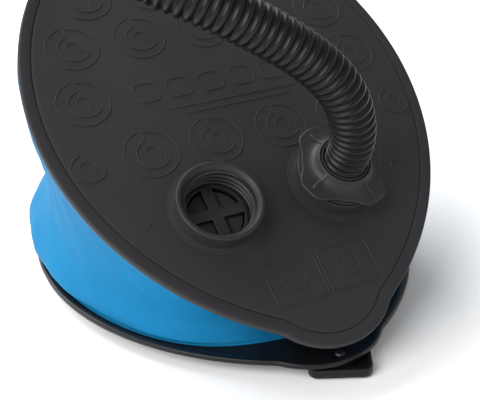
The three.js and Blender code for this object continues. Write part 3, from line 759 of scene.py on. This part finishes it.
def make_marks():
    bm = bmesh.new()
    grip = bmesh.new()
    rows = [(80, (-37, 0, 37)), (46, (-58, -20, 18, 56)), (14, (-75, -37, 0, 37, 75)), (-22, (-80, 80)),
            (-60, (-90, -56, -20, 18, 56, 90))]
    for along, places in rows:
        for x in places:
            y = WIDE_CENTRE + along
            if abs(x) < 88:
                join(grip, ridge(spiral(x, y, 13.2, 14.4, 96, -142, 44), LINE, 0.3))
                join(grip, ridge(spiral(x, y, 14.4, 14.6, 100, 216, 24), LINE, 0.24))
                join(grip, ridge([Vector((x - 1.4, y + 13.1 - 5.4 * i / 6)) for i in range(7)], LINE, 0.28))
            join(grip, ridge(spiral(x, y, 7.6, 9.4, 98, 334, 36), LINE, 0.3))
            join(grip, ridge(spiral(x, y, 3.4, 4.6, 210, -60, 20), LINE, 0.26))
    for i in range(6):
        x = -46 + i * 18.4
        join(bm, ridge(box_path(x - 6.6, x + 6.6, WIDE_CENTRE - 29, WIDE_CENTRE - 17, 3.6), LINE, 0.3, True))
    for j, (half, y) in enumerate(((40, -36), (34, -40.5))):
        path = [Vector((-half + 2 * half * i / 20, WIDE_CENTRE + y)) for i in range(21)]
        join(bm, ridge(path, 0.8, 0.3))
    panel = (WIDE_CENTRE - 159, WIDE_CENTRE - 136)
    for x0, x1 in ((-27, 1), (3, 31)):
        join(bm, ridge(box_path(x0, x1, *panel, 2.5), LINE, 0.32, True))
        join(bm, ridge(box_path(x0 + 8, x1 - 8, panel[0] + 6, panel[1] - 6, 5.4), LINE, 0.26, True))
    for side in (-1, 1):
        x, y = side * 70, WIDE_CENTRE - 99.5
        chevron = [Vector((x - 4 + i, y - 2 + i)) for i in range(5)]
        chevron += [Vector((x + 1 + i, y + 1 - i)) for i in range(4)]
        join(bm, ridge(chevron, LINE, 0.3))
    for name, made in (("tread_swirls", grip), ("tread_frames", bm)):
        piece = place_piece(made, name, TREAD, "tread", (), 60)
        piece.data.materials.append(SHELL)


make_marks()


# ---- bellows sleeve ----
LEVELS = 90
FULL_HEIGHT = 165


def swell(part):
    """How far out the fabric stands: it sags over the base, draws in, and has a lip at the top."""
    sag = BASE_SWELL * math.exp(-(((part - 0.083) / 0.106) ** 2))
    waist = WAIST_DEPTH * math.exp(-(((part - 0.456) / 0.259) ** 2))
    lip = TOP_SWELL * math.exp(-(((part - 0.927) / 0.118) ** 2))
    return sag - waist + lip


def crease(run, part, tall):
    """Shallow folds: long ones that lean towards the nose, and short puckers at both hems."""
    fan = noise.noise(Vector((run * 0.010, part * 2.0 + run * 0.004, 1.7)))
    long = noise.noise(Vector((run * 0.022 + part * 1.2, part * 3.4, 5.1)))
    fine = noise.noise(Vector((run * 0.05 + part * 2.5, part * 7, 2.2)))
    hem = noise.noise(Vector((run * 0.11, part * 1.4, 9.3)))
    near_hem = math.exp(-part / 0.10) + 0.6 * math.exp(-(1 - part) / 0.07)
    seam_and_shade = math.exp(-((((1 - part) * tall - SEAM_FROM_HEM) / 1.8) ** 2)) * min(1, tall / 60)
    return (fan * 1.2 + long * 1.3 + fine * 1.0) * min(1, tall / 50) + hem * 0.8 * near_hem - 1.3 * seam_and_shade


def make_sleeve():
    low = sleeve_outline(SLEEVE_BASE_INSET, BASE_REACH)
    high = sleeve_outline(SLEEVE_TOP_INSET, 0)
    low_z, high_z = BASE_DECK + 0.3 - HINGE_HEIGHT, TREAD_TOP - TREAD_DECK - 0.3
    count = len(low)
    steps = [(low[(i + 1) % count] - low[i]).length for i in range(count)]
    runs = [sum(steps[:i]) for i in range(count)]
    talls = []
    rows = [[] for _ in range(LEVELS + 1)]
    for i, (p, q) in enumerate(zip(low, high)):
        start = math.atan2(low_z, p.y)
        end = math.atan2(high_z, q.y) + OPEN
        near, far = math.hypot(p.y, low_z), math.hypot(q.y, high_z)
        talls.append((near + far) / 2 * (end - start))
        before, after = low[i - 1], low[(i + 1) % count]
        side = Vector((after.y - before.y, before.x - after.x)).normalized()
        for k, row in enumerate(rows):
            part = k / LEVELS
            angle = start + (end - start) * part
            radius = near + (far - near) * part
            share = min(1, radius * OPEN / FULL_HEIGHT) ** 1.3
            held = max(0, min(1, (part - 0.02) / 0.04, (1 - part) / 0.04))
            push = held * (swell(part) * share + crease(runs[i], part, talls[i]))
            r = radius + side.y * push
            row.append(Vector((p.x + (q.x - p.x) * part + side.x * push,
                               r * math.cos(angle), r * math.sin(angle) + HINGE_HEIGHT)))
    bm, _, _ = loft(rows)
    place, level = bm.verts.layers.int["place"], bm.verts.layers.int["level"]
    cloth = bm.loops.layers.uv.new("cloth")
    turn = bm.verts.layers.float.new("turn")
    hem = bm.verts.layers.float.new("hem")
    for vert in bm.verts:
        vert[turn] = vert[level] / LEVELS
        vert[hem] = (1 - vert[turn]) * talls[vert[place]] * MM
    for face in bm.faces:
        wraps = max(v[place] for v in face.verts) - min(v[place] for v in face.verts) > 1
        for loop in face.loops:
            i = loop.vert[place]
            run = sum(steps) if wraps and i == 0 else runs[i]
            loop[cloth].uv = (run * MM, loop.vert[turn] * talls[i] * MM)
    bmesh.ops.recalc_face_normals(bm, faces=bm.faces)
    piece = place_piece(bm, "bellows_fabric", BASE, "base", ["bellows_sleeve"], 180, ride=False)
    modifier(piece, "SOLIDIFY", thickness=SLEEVE_WALL * MM, offset=-1)
    settle(piece)
    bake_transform(piece, "tread", "base", start=(0, 0.16, 0.2), end=(0, 0.14, 0))
    # Each point follows the upper plate by its own share of the angle between the two hems.
    for weight, share in zip(piece.data.attributes["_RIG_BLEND"].data, piece.data.attributes["turn"].data):
        weight.value = 1 - share.value
    piece.data.materials.append(NYLON)
    area = sum(step * tall for step, tall in zip(steps, talls)) * MM * MM


make_sleeve()


# ---- hose nut ----
NUT_TURN = math.radians(22.5)


def nut_row(height, radius, lobe, steps=144):
    """One closed row of the nut: lobes on four sides with a low swell on each flat between them."""
    row = []
    for i in range(steps):
        t = 2 * math.pi * i / steps
        r = radius + lobe * (math.cos(4 * (t - NUT_TURN)) - 0.16 * math.cos(12 * (t - NUT_TURN)))
        row.append(Vector((PORTS["right"] + r * math.cos(t), PORT_Y + r * math.sin(t), height)))
    return row


def make_nut():
    low, top = NUT_LOW, NUT_TOP
    plate = low + NUT_SKIRT
    face = plate + NUT_PLATE
    section = [(low, 17.2, 0), (low, 21.8, 0), (low + 0.15, 22.4, 0), (low + 0.5, 22.7, 0),
               (plate - 0.3, 22.7, 0), (plate - 0.2, 22.4, 0.3), (plate - 0.1, 22.8, 1.6),
               (plate, 23.5, 2.4), (plate + 0.2, 23.9, 2.75), (plate + 0.55, 24.05, 2.85),
               (face - 0.5, 24.05, 2.85), (face - 0.15, 23.85, 2.8),
               (face, 23.4, 2.7), (face, 22.6, 2.4), (face + 0.1, 21, 1.7), (face + 0.35, 19, 0.8),
               (face + 0.8, 17.4, 0.3), (face + 1.5, 16.2, 0), (face + 2.5, 15.3, 0), (face + 3.8, 14.7, 0),
               (top - 0.9, 14.3, 0), (top - 0.3, 14.15, 0), (top, 13.8, 0), (top, 13.4, 0),
               (top - 0.2, 13.15, 0), (top - 0.8, 13.1, 0), (low - 8.3, 13.1, 0),
               (low - 8.5, 13.4, 0), (low - 8.5, 16.9, 0),
               (low - 8.2, 17.2, 0)]
    bm, _, _ = loft([nut_row(*s) for s in section], joined=True)
    outward(bm)
    for i in range(4):
        join(bm, nut_rib(NUT_TURN + i * math.pi / 2))
    piece = place_piece(bm, "lobed_hose_nut", TREAD, "nut", ["hose_nut"], 45)
    piece.data.materials.append(SHELL)


def nut_rib(angle):
    """A low rib with rounded ends that runs from the bell out over a lobe."""
    face = NUT_LOW + NUT_SKIRT + NUT_PLATE
    line = [(14.2, 4.6), (15.2, 3.4), (16.4, 2.2), (18, 1.5),
            (20, 1.1), (22, 0.95), (22.8, 0.5), (23.1, -0.1)]
    out = Vector((math.cos(angle), math.sin(angle), 0))
    side = Vector((-out.y, out.x, 0))
    rows = []
    across = ((-1, -2), (-1, -0.3), (-0.8, -0.08), (-0.4, 0), (0.4, 0), (0.8, -0.08), (1, -0.3), (1, -2))
    halves = (1.0, 1.0, 1.0, 1.0, 1.0, 0.95, 0.65, 0.25)
    for (r, z), half in zip(line, halves):
        middle = Vector((PORTS["right"], PORT_Y, face)) + out * r
        rows.append([middle + side * half * a + Vector((0, 0, max(z + b, -0.8))) for a, b in across])
    bm, first, last = loft(rows)
    close(bm, first)
    close(bm, last)
    outward(bm)
    return bm


make_nut()


# ---- every other CAD piece keeps its shape and gets its finish; all but the return springs, the cuff and the nozzle have their edges eased ----
def polish(node, finish, body, ease=0.25, segments=2, sharp=32):
    """A merged copy of a CAD node with rounded edges stands for it."""
    source = frame["nodes"][node]
    bm = bmesh.new()
    bm.from_mesh(source.data)
    bmesh.ops.remove_doubles(bm, verts=bm.verts, dist=2e-6)
    bmesh.ops.dissolve_limit(bm, angle_limit=math.radians(1), verts=bm.verts, edges=bm.edges)
    corners = [e for e in bm.edges if e.is_manifold and e.calc_face_angle(0) > math.radians(sharp)]
    if ease:
        bmesh.ops.bevel(bm, geom=corners, offset=ease * MM, offset_type="OFFSET", segments=segments,
                        profile=0.5, affect="EDGES", clamp_overlap=True, material=-1)
    piece = place_piece(bm, f"{node}_finished", Matrix.Identity(4), body, [node], 30)
    piece.data.materials.append(finish)
    return piece


def make_spring(node):
    """A merged copy of a return spring that closes up with the plates about the hinge."""
    bm = bmesh.new()
    bm.from_mesh(frame["nodes"][node].data)
    bmesh.ops.remove_doubles(bm, verts=bm.verts, dist=2e-6)
    piece = place_piece(bm, f"{node}_coil", Matrix.Identity(4), "base", [node], 40, ride=False)
    piece.data.materials.append(STEEL)
    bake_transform(piece, "tread", "base", start=(0, 0.02, 0.1), end=(0, 0.02, 0))
    turns = [math.atan2(v.co.z - HINGE.z, v.co.y - HINGE.y) for v in piece.data.vertices]
    low, high = min(turns), max(turns)
    for weight, turn in zip(piece.data.attributes["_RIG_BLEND"].data, turns):
        weight.value = 1 - (turn - low) / (high - low)


def body_of(node):
    bodies = frame["record"]["behaviour"]["bodies"]
    return next(name for name, members in bodies.items() if node in members)


FINISH = {"shell_plastic": SHELL_DARK, "inner_plastic": INNER, "rubber": RUBBER, "steel": STEEL}
ALREADY = {"tread_plate", "base_plate", "bellows_sleeve", "hose", "hose_nut"}
EASED = {"nose_tab": 0.8, "left_valve_seat": 0.35}
for subpart in frame["record"]["subparts"]:
    node, slot = subpart["node"], subpart["material_slot"]
    if node in ALREADY:
        continue
    if "return_spring" in node:
        make_spring(node)
    elif node in ("hose_end_cuff", "nozzle"):
        frame["nodes"][node].data.materials.clear()
        frame["nodes"][node].data.materials.append(FINISH[slot])
    else:
        polish(node, FINISH[slot], body_of(node), EASED.get(node, 0.2))


# ---- floor and light ----
def make_stage():
    bm = bmesh.new()
    bmesh.ops.create_grid(bm, x_segments=1, y_segments=1, size=6)
    mesh = bpy.data.meshes.new("floor")
    bm.to_mesh(mesh)
    bm.free()
    floor = bpy.data.objects.new("floor", mesh)
    bpy.context.scene.collection.objects.link(floor)
    look = Look("floor_paint", Roughness=0.9)
    cloud = look.noise(look.places(), 3, 2, 0.5)
    white = look.colour(cloud, (0.94, 0.94, 0.94), (0.96, 0.96, 0.96))
    floor.data.materials.append(look.wear(Base_Color=white))
    world = bpy.data.worlds.new("studio")
    world.use_nodes = True
    world.node_tree.nodes["Background"].inputs[0].default_value = (1, 1, 1, 1)
    world.node_tree.nodes["Background"].inputs[1].default_value = 0.45
    bpy.context.scene.world = world


def soft_light(name, place, aim, size, power):
    data = bpy.data.lights.new(name, "AREA")
    data.shape = "RECTANGLE"
    data.size, data.size_y = size
    data.energy = power
    lamp = bpy.data.objects.new(name, data)
    lamp.location = place
    lamp.rotation_euler = (Vector(aim) - Vector(place)).to_track_quat("-Z", "Y").to_euler()
    bpy.context.scene.collection.objects.link(lamp)


make_stage()
soft_light("back_panel", (-0.5, 1.5, 1.5), (0, 0, 0), (2.0, 1.4), 60)
soft_light("left_panel", (-1.4, -0.6, 1.1), (0, 0, 0.05), (1.2, 1.2), 34)
soft_light("front_panel", (0.7, -1.7, 1.3), (0, 0, 0.05), (1.4, 1.0), 3)
bpy.context.scene.view_settings.view_transform = "Standard"
